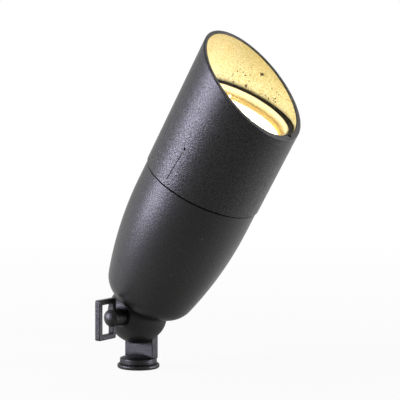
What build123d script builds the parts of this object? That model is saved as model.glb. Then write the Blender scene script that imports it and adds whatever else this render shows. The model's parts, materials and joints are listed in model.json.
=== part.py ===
from build123d import *
import math
import os

# Landscape spotlight: a bullet housing with an angled cowl on a one-sided tilting knuckle.
# Millimetres, +Z up. The origin is the centre of the foot's underside, the tilt axis runs along Y,
# and the thumbscrew is on the -Y side. Head pieces are drawn upright with the tilt axis at zero height.

# Pose at rest
REST_TILT = 30.0            # lean of the head from upright, towards +X
COWL_TURN = 2.5             # turn of the cowl's low side from +X about the body axis

# Lamp: a 50 mm reflector lamp with a cover glass and two pins
LAMP_RADIUS = 25.0
LAMP_LENGTH = 45.0          # from the rim to the end of the ceramic base
LAMP_LIP_WALL = 0.7
LAMP_LIP_DEPTH = 1.9        # from the rim down to the cover glass
COVER_GLASS_THICKNESS = 1.5
COVER_GLASS_CLEARANCE = 0.1
REFLECTOR_LEDGE = 1.9       # ring that carries the cover glass
REFLECTOR_DEPTH = 27.0      # bowl below its mouth
REFLECTOR_FULLNESS = 0.58   # pull of the bowl's curve towards a cup, from 0 to 1
REFLECTOR_WALL = 1.8
REFLECTOR_BAND = 4.6        # straight outer band under the rim
CAPSULE_RADIUS = 4.8
CAPSULE_TIP_DEPTH = 10.0    # below the rim
CAPSULE_CLEARANCE = 0.15    # round its stem in the reflector neck and in the base
LAMP_BASE_WIDTH = 17.0
LAMP_BASE_THICKNESS = 12.0
LAMP_BASE_CORNER = 2.5
STEM_DEPTH_IN_BASE = 5.0
PIN_RADIUS = 0.75
PIN_SPACING = 5.33
PIN_LENGTH = 7.5
PIN_SEAT = 3.0              # length of a pin inside the base
INNER_FIT = 0.02            # radial gap of pieces that are pressed together

# Cowl
COWL_WALL = 2.55
COWL_OVERHANG = 0.5         # cowl's outside beyond the housing's at the parting line
COWL_DRAFT = 0.36           # outward draft of the outside, in degrees
BORE_DRAFT = 2.8            # outward draft of the bore above the lamp, in degrees
COWL_EDGE_ROUND = 0.5
CUT_ABOVE_LAMP = 13.2       # slanted cut above the lamp rim, on the axis
CUT_ANGLE = 22.3
GASKET_WIDTH = 1.8          # silicone ring between the lamp and the bore
GASKET_RISE = 0.9           # above the lamp rim
GASKET_DROP = 3.9           # below the lamp rim
GASKET_ROUND = 0.6
GASKET_FIT = 0.05
LAMP_CLEARANCE = 0.3        # between the lamp rim and the ring, which turns with the cowl
LEDGE_HEIGHT = 2.0
LEDGE_SETBACK = 0.4         # ledge stands back from the ring's inner face

# Lower housing, heights measured up from the tilt axis
HOUSING_BOTTOM = 5.4
PARTING_HEIGHT = 75.8
STRAIGHT_LENGTH = 11.4      # straight side under the parting line
BELLY_RADIUS = 191.0
BOTTOM_ROUND = 12.0
HOUSING_WALL = 2.6
FLOOR_OVER_POCKET = 2.4     # metal left between the knuckle pocket and the inside
SEAM_WIDTH = 0.1            # axial running gap at the parting line
SEAM_CHAMFER = 0.45
SPIGOT_LENGTH = 9.0
SPIGOT_WALL = 2.4
SPIGOT_FIT = 0.08
SPIGOT_CHAMFER = 0.8
O_RING_GROOVE_DEPTH = 1.3
O_RING_GROOVE_CLEARANCE = 0.25
O_RING_FIT = 0.05

# Knuckle
PIVOT_HEIGHT = 27.5
DOME_RADIUS = 15.4          # half-dome lug of the housing
SPOT_FACE_DEPTH = 0.9       # flat cut on the pole of the dome
PLATE_THICKNESS = 5.0
PLATE_HEAD_RADIUS = 14.0
PLATE_EDGE_ROUND = 0.5
NECK_WIDTH = 16.8
KNUCKLE_GAP = 0.05          # between the two rubbed faces
POCKET_CLEARANCE = 0.6      # round the plate in the housing
FOOT_RADIUS = 10.5
FOOT_HEIGHT = 2.4
FOOT_ROUND = 1.0
COLLAR_RADIUS = 9.2
COLLAR_HEIGHT = 2.6
COLLAR_CROWN = 1.6          # rise of its rounded top on the axis
COLLAR_ROUND = 0.6
STEM_THREAD_RADIUS = 4.55   # tapped hole for a stem or stake, in the foot's underside
STEM_THREAD_DEPTH = 4.4

# Thumbscrew
STUD_RADIUS = 3.0
STUD_CLEARANCE = 0.3        # in the dome and in the washer
STUD_FIT = 0.05             # in the tapped plate
STUD_TIP_GAP = 0.2          # short of the plate's back face
STUD_SEAT = 5.5             # length inside the hub
STUD_CHAMFER = 0.5
WASHER_THICKNESS = 1.0
WASHER_RADIUS = 4.8
HUB_RADIUS = 4.2
HUB_LENGTH = 7.9
HUB_CROWN = 2.0             # rise of the hub's domed end
HUB_EDGE_ROUND = 0.5
LOOP_LENGTH = 13.5
LOOP_HEIGHT = 19.8
LOOP_BAR = 2.5
LOOP_THICKNESS = 3.1
LOOP_CORNER = 0.9
LOOP_EDGE_ROUND = 0.5

# Lamp holder and wiring
BRACKET_DEPTH = 16.5        # strap under the parting line
STRAP_THICKNESS = 1.2
STRAP_WIDTH = 10.0
STRAP_END_GAP = 2.0         # between the strap's ends and the spigot's bore, which it drops through
BOSS_RADIUS = 3.4
SCREW_RADIUS = 1.5
SCREW_HEAD_RADIUS = 2.8
SCREW_HEAD_HEIGHT = 1.8
SCREW_FIT = 0.05
SCREW_SLOT_WIDTH = 0.8
SCREW_SLOT_DEPTH = 0.7
BRACKET_SCREW_LENGTH = 8.0
SOCKET_WIDTH = 24.0
SOCKET_THICKNESS = 16.0
SOCKET_CORNER = 3.0
SOCKET_SCREW_SPACING = 16.0
SOCKET_SCREW_SINK = 4.0
SOCKET_GAP = 0.1            # between the socket and the lamp base
CONTACT_WALL = 0.6
LEAD_RADIUS = 0.9
LEAD_CLEARANCE = 0.1
LEAD_SEAT = 3.0             # length of a lead inside the socket
LEAD_STRAP_GAP = 0.5
GROMMET_RADIUS = 4.0
GROMMET_FLANGE = 1.2        # flange beyond the body of the grommet
GROMMET_FLANGE_HEIGHT = 1.5
GROMMET_FIT = 0.05
GROMMET_WALL = 3.0          # metal between the grommet and the knuckle pocket

# Radii and heights that follow from the sizes above
GASKET_BORE = LAMP_RADIUS + LAMP_CLEARANCE
COWL_BORE = GASKET_BORE + GASKET_WIDTH + GASKET_FIT
COWL_RADIUS = COWL_BORE + COWL_WALL
BODY_RADIUS = COWL_RADIUS - COWL_OVERHANG
SPIGOT_RADIUS = COWL_BORE - SPIGOT_FIT
SPIGOT_BORE = SPIGOT_RADIUS - SPIGOT_WALL
STRAP_HEIGHT = PARTING_HEIGHT - BRACKET_DEPTH
STRAP_REACH = SPIGOT_BORE - STRAP_END_GAP
BOSS_OFFSET = STRAP_REACH - STRAP_WIDTH / 2
SOCKET_BOTTOM = STRAP_HEIGHT + STRAP_THICKNESS
SOCKET_HEIGHT = LEAD_SEAT + PIN_LENGTH + 4 * CONTACT_WALL + PIN_RADIUS
LAMP_BASE_END = SOCKET_BOTTOM + SOCKET_HEIGHT + SOCKET_GAP
LAMP_RIM = LAMP_BASE_END + LAMP_LENGTH
COVER_GLASS_TOP = LAMP_RIM - LAMP_LIP_DEPTH
REFLECTOR_MOUTH = COVER_GLASS_TOP - COVER_GLASS_THICKNESS
LIP_BORE = LAMP_RADIUS - LAMP_LIP_WALL
MOUTH_RADIUS = LIP_BORE - REFLECTOR_LEDGE
STEM_RADIUS = CAPSULE_RADIUS - CAPSULE_CLEARANCE
POCKET_RADIUS = PLATE_HEAD_RADIUS + POCKET_CLEARANCE
POCKET_WIDTH = KNUCKLE_GAP + PLATE_THICKNESS + POCKET_CLEARANCE
FLOOR_HEIGHT = POCKET_RADIUS + FLOOR_OVER_POCKET
BELLY_HEIGHT = PARTING_HEIGHT - STRAIGHT_LENGTH
BELLY_CENTRE = (BODY_RADIUS - BELLY_RADIUS, BELLY_HEIGHT)
PLATE_FOOT = FOOT_HEIGHT + COLLAR_HEIGHT
SPOT_FACE = DOME_RADIUS - SPOT_FACE_DEPTH
HUB_START = SPOT_FACE + WASHER_THICKNESS
HUB_END = HUB_START + HUB_LENGTH
LOOP_START = HUB_END - LOOP_BAR
GROMMET_Y = POCKET_WIDTH + GROMMET_WALL + GROMMET_RADIUS
GROMMET_SEAT = HOUSING_BOTTOM + GROMMET_FLANGE_HEIGHT
LEAD_OFFSET = SOCKET_SCREW_SPACING / 4
LEAD_Y = STRAP_WIDTH / 2 + LEAD_STRAP_GAP + LEAD_RADIUS
LEAD_SPACING = LEAD_RADIUS + GROMMET_RADIUS / 6


def on_head(shape):
    """Carry a head piece from its upright drawing to the rest tilt."""
    return Pos(0, 0, PIVOT_HEIGHT) * Rot(0, REST_TILT, 0) * shape


def along_hinge(shape):
    """Lay a piece drawn up +Z along the tilt axis, pointing to the thumbscrew side."""
    return Pos(0, 0, PIVOT_HEIGHT) * Rot(90, 0, 0) * shape


def rod(radius, bottom, top):
    """Upright cylinder between two heights."""
    return extrude(Pos(0, 0, bottom) * Circle(radius), top - bottom)


def tube(inner, outer, bottom, top):
    """Upright ring between two heights."""
    return rod(outer, bottom, top) - rod(inner, bottom, top)


def crown(radius, rise, bottom):
    """Rounded cap on an upright cylinder."""
    sphere_radius = (radius**2 + rise**2) / (2 * rise)
    ball = Pos(0, 0, bottom + rise - sphere_radius) * Sphere(sphere_radius)
    return rod(radius, bottom, bottom + rise) & ball


def prism(width, thickness, corner, bottom, top):
    """Upright bar with rounded corners between two heights."""
    return extrude(Pos(0, 0, bottom) * RectangleRounded(width, thickness, corner), top - bottom)


def turned(*edges):
    """Body turned about the vertical axis from a closed outline of radius and height."""
    return revolve(Plane.XZ * make_face(Curve() + list(edges)), Axis.Z)


def edges_at(shape, height):
    """Round edges of an upright piece that lie at one height."""
    level = shape.edges().filter_by(GeomType.CIRCLE)
    return level.filter_by(lambda edge: abs(edge.center().Z - height) < 1e-4)


def mirrored_pair(shape, offset):
    """Two copies on either side of the body axis, along X."""
    return [Pos(side * offset, 0, 0) * shape for side in (-1, 1)]


def knuckle_base():
    """Cast foot, neck and round plate head, with both tapped holes."""
    foot = fillet(rod(FOOT_RADIUS, 0, FOOT_HEIGHT).edges().filter_by(GeomType.CIRCLE), FOOT_ROUND)
    collar = rod(COLLAR_RADIUS, FOOT_HEIGHT, PLATE_FOOT) + crown(COLLAR_RADIUS, COLLAR_CROWN, PLATE_FOOT)
    collar = fillet(edges_at(collar, PLATE_FOOT), COLLAR_ROUND)
    reach = PIVOT_HEIGHT - PLATE_FOOT
    outline = Circle(PLATE_HEAD_RADIUS) + Pos(0, -reach / 2) * Rectangle(NECK_WIDTH, reach)
    plate = Pos(0, 0, -KNUCKLE_GAP) * extrude(outline, -PLATE_THICKNESS)
    rims = plate.edges().filter_by(Plane.XY).filter_by(lambda edge: edge.center().Y > COLLAR_ROUND - reach)
    plate = fillet(rims, PLATE_EDGE_ROUND)
    plate -= rod(STUD_RADIUS + STUD_FIT, -KNUCKLE_GAP - PLATE_THICKNESS, -KNUCKLE_GAP)
    plate = along_hinge(plate)
    within = rod(COLLAR_RADIUS, PLATE_FOOT - COLLAR_ROUND, PLATE_FOOT)
    root = within & Pos(0, KNUCKLE_GAP + PLATE_THICKNESS / 2, PLATE_FOOT) * Box(
        NECK_WIDTH, PLATE_THICKNESS, 2 * COLLAR_ROUND
    )
    return foot + collar + root + plate - rod(STEM_THREAD_RADIUS, 0, STEM_THREAD_DEPTH)


def side_angle(radius, height):
    """Angle on a circle about the belly's centre at one height, in degrees."""
    return math.degrees(math.asin((height - BELLY_CENTRE[1]) / radius))


def belly_radius_at(radius, height):
    """Distance from the body axis of that circle at one height."""
    return BELLY_CENTRE[0] + radius * math.cos(math.radians(side_angle(radius, height)))


def housing_outside():
    """Bullet form with its spigot, before it is hollowed."""
    round_height = HOUSING_BOTTOM + BOTTOM_ROUND
    angle = side_angle(BELLY_RADIUS - BOTTOM_ROUND, round_height)
    flat = belly_radius_at(BELLY_RADIUS - BOTTOM_ROUND, round_height)
    corner = CenterArc((flat, round_height), BOTTOM_ROUND, -90, 90 + angle)
    belly = CenterArc(BELLY_CENTRE, BELLY_RADIUS, angle, -angle)
    shoulder = PARTING_HEIGHT
    rim = shoulder + SPIGOT_LENGTH
    top = Polyline(
        (BODY_RADIUS, BELLY_HEIGHT),
        (BODY_RADIUS, shoulder - SEAM_CHAMFER),
        (BODY_RADIUS - SEAM_CHAMFER, shoulder),
        (SPIGOT_RADIUS, shoulder),
        (SPIGOT_RADIUS, rim - SPIGOT_CHAMFER),
        (SPIGOT_RADIUS - SPIGOT_CHAMFER, rim),
        (0, rim),
        (0, HOUSING_BOTTOM),
        (flat, HOUSING_BOTTOM),
    )
    return turned(corner, belly, top)


def housing_cavity():
    """Room inside the bullet, drawn in under the spigot."""
    inner = BELLY_RADIUS - HOUSING_WALL
    angle = side_angle(inner, FLOOR_HEIGHT)
    floor_radius = belly_radius_at(inner, FLOOR_HEIGHT)
    wide = BODY_RADIUS - HOUSING_WALL
    neck_in = PARTING_HEIGHT - HOUSING_WALL
    belly = CenterArc(BELLY_CENTRE, inner, angle, -angle)
    rest = Polyline(
        (wide, BELLY_HEIGHT),
        (wide, neck_in - (wide - SPIGOT_BORE)),
        (SPIGOT_BORE, neck_in),
        (SPIGOT_BORE, PARTING_HEIGHT + SPIGOT_LENGTH),
        (0, PARTING_HEIGHT + SPIGOT_LENGTH),
        (0, FLOOR_HEIGHT),
        (floor_radius, FLOOR_HEIGHT),
    )
    return turned(belly, rest)


def bracket_bosses(outside):
    """Two posts cast on the wall that carry the lamp-holder strap."""
    post = rod(BOSS_RADIUS, FLOOR_HEIGHT - FLOOR_OVER_POCKET / 2, STRAP_HEIGHT)
    height = STRAP_HEIGHT - FLOOR_HEIGHT
    web = Pos(0, 0, FLOOR_HEIGHT + height / 2) * Box(BODY_RADIUS, BOSS_RADIUS, height)
    bosses = []
    for side in (-1, 1):
        boss = Pos(side * BOSS_OFFSET, 0, 0) * post
        boss += Pos(side * (BOSS_OFFSET + BODY_RADIUS / 2), 0, 0) * web
        bosses.append(boss & outside)
    return bosses


def knuckle_pocket():
    """Slot in the housing for the plate head, long enough for the neck when the head lies flat."""
    width = POCKET_WIDTH
    head = Rot(90, 0, 0) * rod(POCKET_RADIUS, -width, 0)
    depth = NECK_WIDTH / 2 + POCKET_CLEARANCE
    slot = Pos(0, width / 2, 0) * Box(2 * BODY_RADIUS, width, 2 * depth)
    return head + slot


def lower_housing():
    """Bullet casting with the half-dome lug, knuckle pocket, wire inlet and bracket bosses."""
    outside = housing_outside()
    body = outside - housing_cavity()
    for boss in bracket_bosses(outside):
        body += boss
    dome = Sphere(DOME_RADIUS) & Pos(0, -DOME_RADIUS, 0) * Box(
        2 * DOME_RADIUS, 2 * DOME_RADIUS, 2 * DOME_RADIUS
    )
    spot = Rot(90, 0, 0) * rod(DOME_RADIUS, SPOT_FACE, DOME_RADIUS)
    lug = dome - spot - housing_cavity()
    body = body + lug - knuckle_pocket()
    body -= Rot(90, 0, 0) * rod(STUD_RADIUS + STUD_CLEARANCE, 0, DOME_RADIUS)
    inlet = rod(GROMMET_RADIUS + GROMMET_FIT, HOUSING_BOTTOM, FLOOR_HEIGHT)
    flange = GROMMET_RADIUS + GROMMET_FLANGE + GROMMET_FIT
    inlet += rod(flange, HOUSING_BOTTOM - BOTTOM_ROUND, GROMMET_SEAT)
    body -= Pos(0, GROMMET_Y, 0) * inlet
    screw_hole = rod(SCREW_RADIUS + SCREW_FIT, STRAP_HEIGHT - BRACKET_SCREW_LENGTH, STRAP_HEIGHT)
    for hole in mirrored_pair(screw_hole, BOSS_OFFSET):
        body -= hole
    groove_root = SPIGOT_RADIUS - O_RING_GROOVE_DEPTH
    half = o_ring_section() + O_RING_GROOVE_CLEARANCE
    body -= tube(groove_root, BODY_RADIUS, o_ring_height() - half, o_ring_height() + half)
    return body


def o_ring_height():
    """Middle of the seal on the spigot."""
    return PARTING_HEIGHT + SPIGOT_LENGTH / 2


def o_ring_section():
    """Radius of the seal's round section, which fills the groove up to the cowl's bore."""
    return (SPIGOT_FIT + O_RING_GROOVE_DEPTH - O_RING_FIT - INNER_FIT) / 2


def cowl_o_ring():
    """Rubber seal in the spigot's groove."""
    middle = SPIGOT_RADIUS - O_RING_GROOVE_DEPTH + INNER_FIT + o_ring_section()
    return Pos(0, 0, o_ring_height()) * Torus(middle, o_ring_section())


def cowl():
    """Straight hood with a slanted mouth and an inner ledge for the lamp's silicone ring."""
    bottom = PARTING_HEIGHT + SEAM_WIDTH
    tallest = LAMP_RIM + CUT_ABOVE_LAMP + 2 * COWL_RADIUS * math.tan(math.radians(CUT_ANGLE))
    grown = COWL_RADIUS + (tallest - bottom) * math.tan(math.radians(COWL_DRAFT))
    ledge_top = LAMP_RIM - GASKET_DROP
    gasket_top = LAMP_RIM + GASKET_RISE
    opened = COWL_BORE + (tallest - gasket_top) * math.tan(math.radians(BORE_DRAFT))
    ledge_bore = GASKET_BORE + LEDGE_SETBACK
    ledge_width = COWL_BORE - ledge_bore
    wall = Polyline(
        (COWL_BORE, bottom),
        (COWL_RADIUS - SEAM_CHAMFER, bottom),
        (COWL_RADIUS, bottom + SEAM_CHAMFER),
        (grown, tallest),
        (opened, tallest),
        (COWL_BORE, gasket_top),
        (COWL_BORE, ledge_top),
        (ledge_bore, ledge_top),
        (ledge_bore, ledge_top - LEDGE_HEIGHT),
        (COWL_BORE, ledge_top - LEDGE_HEIGHT - ledge_width),
        close=True,
    )
    hood = turned(wall)
    size = 6 * COWL_RADIUS
    above = Pos(0, 0, LAMP_RIM + CUT_ABOVE_LAMP) * Rot(0, CUT_ANGLE, 0) * Pos(0, 0, size / 2)
    hood -= above * Box(size, size, size)
    mouth = hood.edges().filter_by(GeomType.ELLIPSE) + hood.edges().filter_by(GeomType.OTHER)
    mouth = mouth.filter_by(lambda edge: edge.length > math.pi * COWL_BORE)
    hood = fillet(mouth, COWL_EDGE_ROUND)
    return Rot(0, 0, COWL_TURN) * hood


def lamp_gasket():
    """Silicone ring that seals the lamp's rim in the cowl."""
    ring = tube(GASKET_BORE, COWL_BORE - GASKET_FIT, LAMP_RIM - GASKET_DROP, LAMP_RIM + GASKET_RISE)
    return fillet(edges_at(ring, LAMP_RIM + GASKET_RISE), GASKET_ROUND)


def bowl_curve(spread, mouth):
    """Side of the reflector's bowl from its neck up to a mouth height, moved outwards by a spread."""
    radius = MOUTH_RADIUS + spread
    bottom = REFLECTOR_MOUTH - REFLECTOR_DEPTH - spread
    return Bezier(
        (reflector_neck(), bottom),
        (radius * REFLECTOR_FULLNESS, bottom),
        (radius, mouth - REFLECTOR_DEPTH * REFLECTOR_FULLNESS),
        (radius, mouth),
    )


def reflector_neck():
    """Radius of the hole for the capsule in the bottom of the reflector."""
    return CAPSULE_RADIUS + CAPSULE_CLEARANCE


def reflector_outside(spread):
    """Solid outer form of the bowl, down to its flat bottom."""
    mouth = LAMP_RIM - REFLECTOR_BAND
    bowl = bowl_curve(spread, mouth)
    closing = Polyline(bowl @ 1, (0, mouth), (0, (bowl @ 0).Y), bowl @ 0)
    return turned(bowl, closing)


def lamp_reflector():
    """Pressed glass reflector with a lip and a ledge for its cover glass."""
    inside = bowl_curve(0, REFLECTOR_MOUTH)
    outside = bowl_curve(REFLECTOR_WALL, LAMP_RIM - REFLECTOR_BAND)
    lip = Polyline(
        inside @ 1,
        (LIP_BORE, REFLECTOR_MOUTH),
        (LIP_BORE, LAMP_RIM),
        (LAMP_RADIUS, LAMP_RIM),
        (LAMP_RADIUS, LAMP_RIM - REFLECTOR_BAND),
        outside @ 1,
    )
    return turned(inside, lip, outside, Line(outside @ 0, inside @ 0))


def lamp_cover_glass():
    """Clear disc set into the reflector's lip."""
    return rod(LIP_BORE - COVER_GLASS_CLEARANCE, REFLECTOR_MOUTH, COVER_GLASS_TOP)


def stem_end():
    """Lower end of the capsule's stem inside the ceramic base."""
    return REFLECTOR_MOUTH - REFLECTOR_DEPTH - STEM_DEPTH_IN_BASE


def lamp_capsule():
    """Quartz capsule with a round tip and a stem that is cemented into the base."""
    tip = LAMP_RIM - CAPSULE_TIP_DEPTH
    bulb = rod(STEM_RADIUS, stem_end(), tip - STEM_RADIUS)
    return bulb + Pos(0, 0, tip - STEM_RADIUS) * Sphere(STEM_RADIUS)


def lamp_base():
    """Ceramic base that hugs the back of the reflector and holds the two pins."""
    top = REFLECTOR_MOUTH - REFLECTOR_DEPTH + REFLECTOR_WALL
    block = prism(LAMP_BASE_WIDTH, LAMP_BASE_THICKNESS, LAMP_BASE_CORNER, LAMP_BASE_END, top)
    block -= reflector_outside(REFLECTOR_WALL + INNER_FIT)
    block -= rod(CAPSULE_RADIUS, stem_end(), top)
    pin_hole = rod(PIN_RADIUS + INNER_FIT, LAMP_BASE_END, LAMP_BASE_END + PIN_SEAT)
    for hole in mirrored_pair(pin_hole, PIN_SPACING / 2):
        block -= hole
    return block


def lamp_pins():
    """Two round contact pins."""
    pin = rod(PIN_RADIUS, LAMP_BASE_END - PIN_LENGTH, LAMP_BASE_END + PIN_SEAT)
    pin = fillet(edges_at(pin, LAMP_BASE_END - PIN_LENGTH), PIN_RADIUS / 2)
    return Compound(mirrored_pair(pin, PIN_SPACING / 2))


def contact_radius():
    """Outside of a socket contact."""
    return PIN_RADIUS + INNER_FIT + CONTACT_WALL


def lamp_socket():
    """Ceramic lamp holder with contact wells, screw wells and lead holes."""
    top = SOCKET_BOTTOM + SOCKET_HEIGHT
    block = prism(SOCKET_WIDTH, SOCKET_THICKNESS, SOCKET_CORNER, SOCKET_BOTTOM, top)
    well = rod(contact_radius() + INNER_FIT, SOCKET_BOTTOM + LEAD_SEAT + CONTACT_WALL, top)
    for hole in mirrored_pair(well, PIN_SPACING / 2):
        block -= hole
    screw_hole = rod(SCREW_RADIUS + SCREW_FIT, SOCKET_BOTTOM, top)
    screw_hole += rod(SCREW_HEAD_RADIUS + LEAD_CLEARANCE, top - SOCKET_SCREW_SINK, top)
    for hole in mirrored_pair(screw_hole, SOCKET_SCREW_SPACING / 2):
        block -= hole
    lead_hole = rod(LEAD_RADIUS + LEAD_CLEARANCE, SOCKET_BOTTOM, SOCKET_BOTTOM + LEAD_SEAT)
    for hole in mirrored_pair(Pos(0, LEAD_Y, 0) * lead_hole, LEAD_OFFSET):
        block -= hole
    return block


def socket_contacts():
    """Two brass sleeves that grip the lamp's pins."""
    bottom = SOCKET_BOTTOM + LEAD_SEAT + CONTACT_WALL
    top = LAMP_BASE_END - SOCKET_GAP - CONTACT_WALL
    sleeve = rod(contact_radius(), bottom, top)
    sleeve -= rod(PIN_RADIUS + INNER_FIT, bottom + CONTACT_WALL, top)
    return Compound(mirrored_pair(sleeve, PIN_SPACING / 2))


def slotted_screw(seat, length):
    """Round-head screw with a driver slot, its head standing on a seat."""
    head = rod(SCREW_HEAD_RADIUS, seat, seat + SCREW_HEAD_HEIGHT)
    head = fillet(edges_at(head, seat + SCREW_HEAD_HEIGHT), SCREW_HEAD_HEIGHT / 2)
    slot = Pos(0, 0, seat + SCREW_HEAD_HEIGHT - SCREW_SLOT_DEPTH / 2) * Box(
        2 * SCREW_HEAD_RADIUS, SCREW_SLOT_WIDTH, SCREW_SLOT_DEPTH
    )
    return head + rod(SCREW_RADIUS, seat - length, seat) - slot


def socket_bracket():
    """Steel strap across the housing that carries the socket."""
    outline = SlotOverall(2 * STRAP_REACH, STRAP_WIDTH)
    strap = extrude(Pos(0, 0, STRAP_HEIGHT) * outline, STRAP_THICKNESS)
    hole = rod(SCREW_RADIUS + SCREW_FIT, STRAP_HEIGHT, SOCKET_BOTTOM)
    for offset in (BOSS_OFFSET, SOCKET_SCREW_SPACING / 2):
        for cut in mirrored_pair(hole, offset):
            strap -= cut
    return strap


def bracket_screws():
    """Two screws that hold the strap on its bosses."""
    length = BRACKET_SCREW_LENGTH + STRAP_THICKNESS - SCREW_SLOT_DEPTH
    return Compound(mirrored_pair(slotted_screw(SOCKET_BOTTOM, length), BOSS_OFFSET))


def socket_screws():
    """Two screws sunk in the socket that reach through the strap."""
    seat = SOCKET_BOTTOM + SOCKET_HEIGHT - SOCKET_SCREW_SINK
    screw = slotted_screw(seat, seat - STRAP_HEIGHT)
    return Compound(mirrored_pair(screw, SOCKET_SCREW_SPACING / 2))


def socket_leads():
    """Two insulated leads from the socket to the wire inlet."""
    start = SOCKET_BOTTOM + LEAD_SEAT
    bend = (start + FLOOR_HEIGHT) / 2
    middle = (bend + FLOOR_HEIGHT) / 2
    leads = []
    for side in (-1, 1):
        route = [
            (side * LEAD_OFFSET, LEAD_Y, start),
            (side * LEAD_OFFSET, LEAD_Y, bend),
            (side * LEAD_SPACING, GROMMET_Y, middle),
            (side * LEAD_SPACING, GROMMET_Y, HOUSING_BOTTOM),
        ]
        path = FilletPolyline(*route, radius=bend - middle)
        leads.append(sweep(Plane(path @ 0, z_dir=path % 0) * Circle(LEAD_RADIUS), path))
    return Compound(leads)


def wire_grommet():
    """Rubber grommet in the housing's underside, with a hole for each lead."""
    flange = GROMMET_RADIUS + GROMMET_FLANGE
    plug = rod(GROMMET_RADIUS, HOUSING_BOTTOM, FLOOR_HEIGHT + GROMMET_FLANGE_HEIGHT)
    plug += rod(flange, HOUSING_BOTTOM, GROMMET_SEAT)
    plug += rod(flange, FLOOR_HEIGHT, FLOOR_HEIGHT + GROMMET_FLANGE_HEIGHT)
    hole = rod(LEAD_RADIUS + LEAD_CLEARANCE, HOUSING_BOTTOM, FLOOR_HEIGHT + GROMMET_FLANGE_HEIGHT)
    for cut in mirrored_pair(hole, LEAD_SPACING):
        plug -= cut
    return Pos(0, GROMMET_Y, 0) * plug


def thumbscrew_washer():
    """Plain washer between the dome and the hub."""
    return tube(STUD_RADIUS + STUD_CLEARANCE, WASHER_RADIUS, SPOT_FACE, HUB_START)


def thumbscrew_handle():
    """Cast hub with an open loop for the fingers."""
    hub = rod(HUB_RADIUS, HUB_START, HUB_END) + crown(HUB_RADIUS, HUB_CROWN, HUB_END)
    hub = fillet(edges_at(hub, HUB_END), HUB_EDGE_ROUND)
    loop = RectangleRounded(LOOP_LENGTH, LOOP_HEIGHT, LOOP_CORNER)
    loop -= Rectangle(LOOP_LENGTH - 2 * LOOP_BAR, LOOP_HEIGHT - 2 * LOOP_BAR)
    frame = extrude(loop, LOOP_THICKNESS / 2, both=True)
    frame = fillet(frame.edges().filter_by(Axis.Z, reverse=True), LOOP_EDGE_ROUND)
    frame = Pos(0, 0, LOOP_START + LOOP_LENGTH / 2) * Rot(0, 90, 90) * Rot(0, 0, 90) * frame
    stud_hole = rod(STUD_RADIUS + INNER_FIT, HUB_START, HUB_START + STUD_SEAT)
    return hub + frame - stud_hole


def thumbscrew_stud():
    """Steel stud from the hub, through the dome, into the tapped plate."""
    tip = STUD_TIP_GAP - KNUCKLE_GAP - PLATE_THICKNESS
    stud = rod(STUD_RADIUS, tip, HUB_START + STUD_SEAT)
    return chamfer(edges_at(stud, tip), STUD_CHAMFER)


HEAD_PIECES = (
    lower_housing,
    wire_grommet,
    socket_bracket,
    bracket_screws,
    lamp_socket,
    socket_screws,
    socket_contacts,
    socket_leads,
    cowl_o_ring,
    lamp_reflector,
    lamp_cover_glass,
    lamp_capsule,
    lamp_base,
    lamp_pins,
    cowl,
    lamp_gasket,
)
HINGE_PIECES = (thumbscrew_washer, thumbscrew_handle, thumbscrew_stud)


def build():
    """Write every piece at its place in the assembled light."""
    os.makedirs("parts", exist_ok=True)
    export_step(knuckle_base(), "parts/knuckle_base.step")
    for make in HEAD_PIECES:
        export_step(on_head(make()), "parts/" + make.__name__ + ".step")
    for make in HINGE_PIECES:
        export_step(along_hinge(make()), "parts/" + make.__name__ + ".step")


build()
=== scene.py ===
import json
import math

import bpy
from mathutils import Matrix, Vector


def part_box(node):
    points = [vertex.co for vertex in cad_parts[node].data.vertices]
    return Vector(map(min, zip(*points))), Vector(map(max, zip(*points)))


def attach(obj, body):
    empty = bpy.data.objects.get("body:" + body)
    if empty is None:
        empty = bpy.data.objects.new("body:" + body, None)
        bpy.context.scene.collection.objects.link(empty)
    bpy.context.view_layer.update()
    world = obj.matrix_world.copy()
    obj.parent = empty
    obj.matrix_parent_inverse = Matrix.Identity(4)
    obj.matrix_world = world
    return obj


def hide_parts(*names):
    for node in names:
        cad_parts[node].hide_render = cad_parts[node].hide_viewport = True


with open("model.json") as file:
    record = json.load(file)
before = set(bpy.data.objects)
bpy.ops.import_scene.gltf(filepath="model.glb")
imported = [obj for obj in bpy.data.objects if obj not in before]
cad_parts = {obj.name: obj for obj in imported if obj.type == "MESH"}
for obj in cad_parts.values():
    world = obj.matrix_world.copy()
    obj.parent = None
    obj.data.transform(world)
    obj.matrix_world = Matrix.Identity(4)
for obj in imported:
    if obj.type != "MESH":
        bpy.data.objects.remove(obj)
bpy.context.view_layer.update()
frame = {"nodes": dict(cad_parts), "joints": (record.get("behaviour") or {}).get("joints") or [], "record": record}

bl_info = {
    "name": "Landscape Spotlight",
    "version": (1, 0, 0),
    "blender": (4, 5, 0),
    "location": "View3D > Sidebar > Spotlight",
    "description": "Finishes, threads, lamp facets and a studio for a tilting bullet spotlight",
    "category": "Object",
}

MM = 0.001
WHITE = (1, 1, 1, 1)

# Kinds of nodes that are used often
MATH = "ShaderNodeMath"
VECTOR_MATH = "ShaderNodeVectorMath"
MAP_RANGE = "ShaderNodeMapRange"
NOISE = "ShaderNodeTexNoise"
MIX = "ShaderNodeMix"
BUMP = "ShaderNodeBump"
SEPARATE = "ShaderNodeSeparateXYZ"
COMBINE = "ShaderNodeCombineXYZ"

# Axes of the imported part
JOINTS = {joint["name"]: joint for joint in frame["joints"]}
PIVOT = Vector(JOINTS["head_tilt"]["pos_m"])
BODY_AXIS = Vector(JOINTS["cowl_turn"]["axis"])
HEAD_TILT = math.atan2(BODY_AXIS.x, BODY_AXIS.z)
HEAD_FRAME = Matrix.Translation(PIVOT) @ Matrix.Rotation(HEAD_TILT, 4, "Y")

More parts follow.
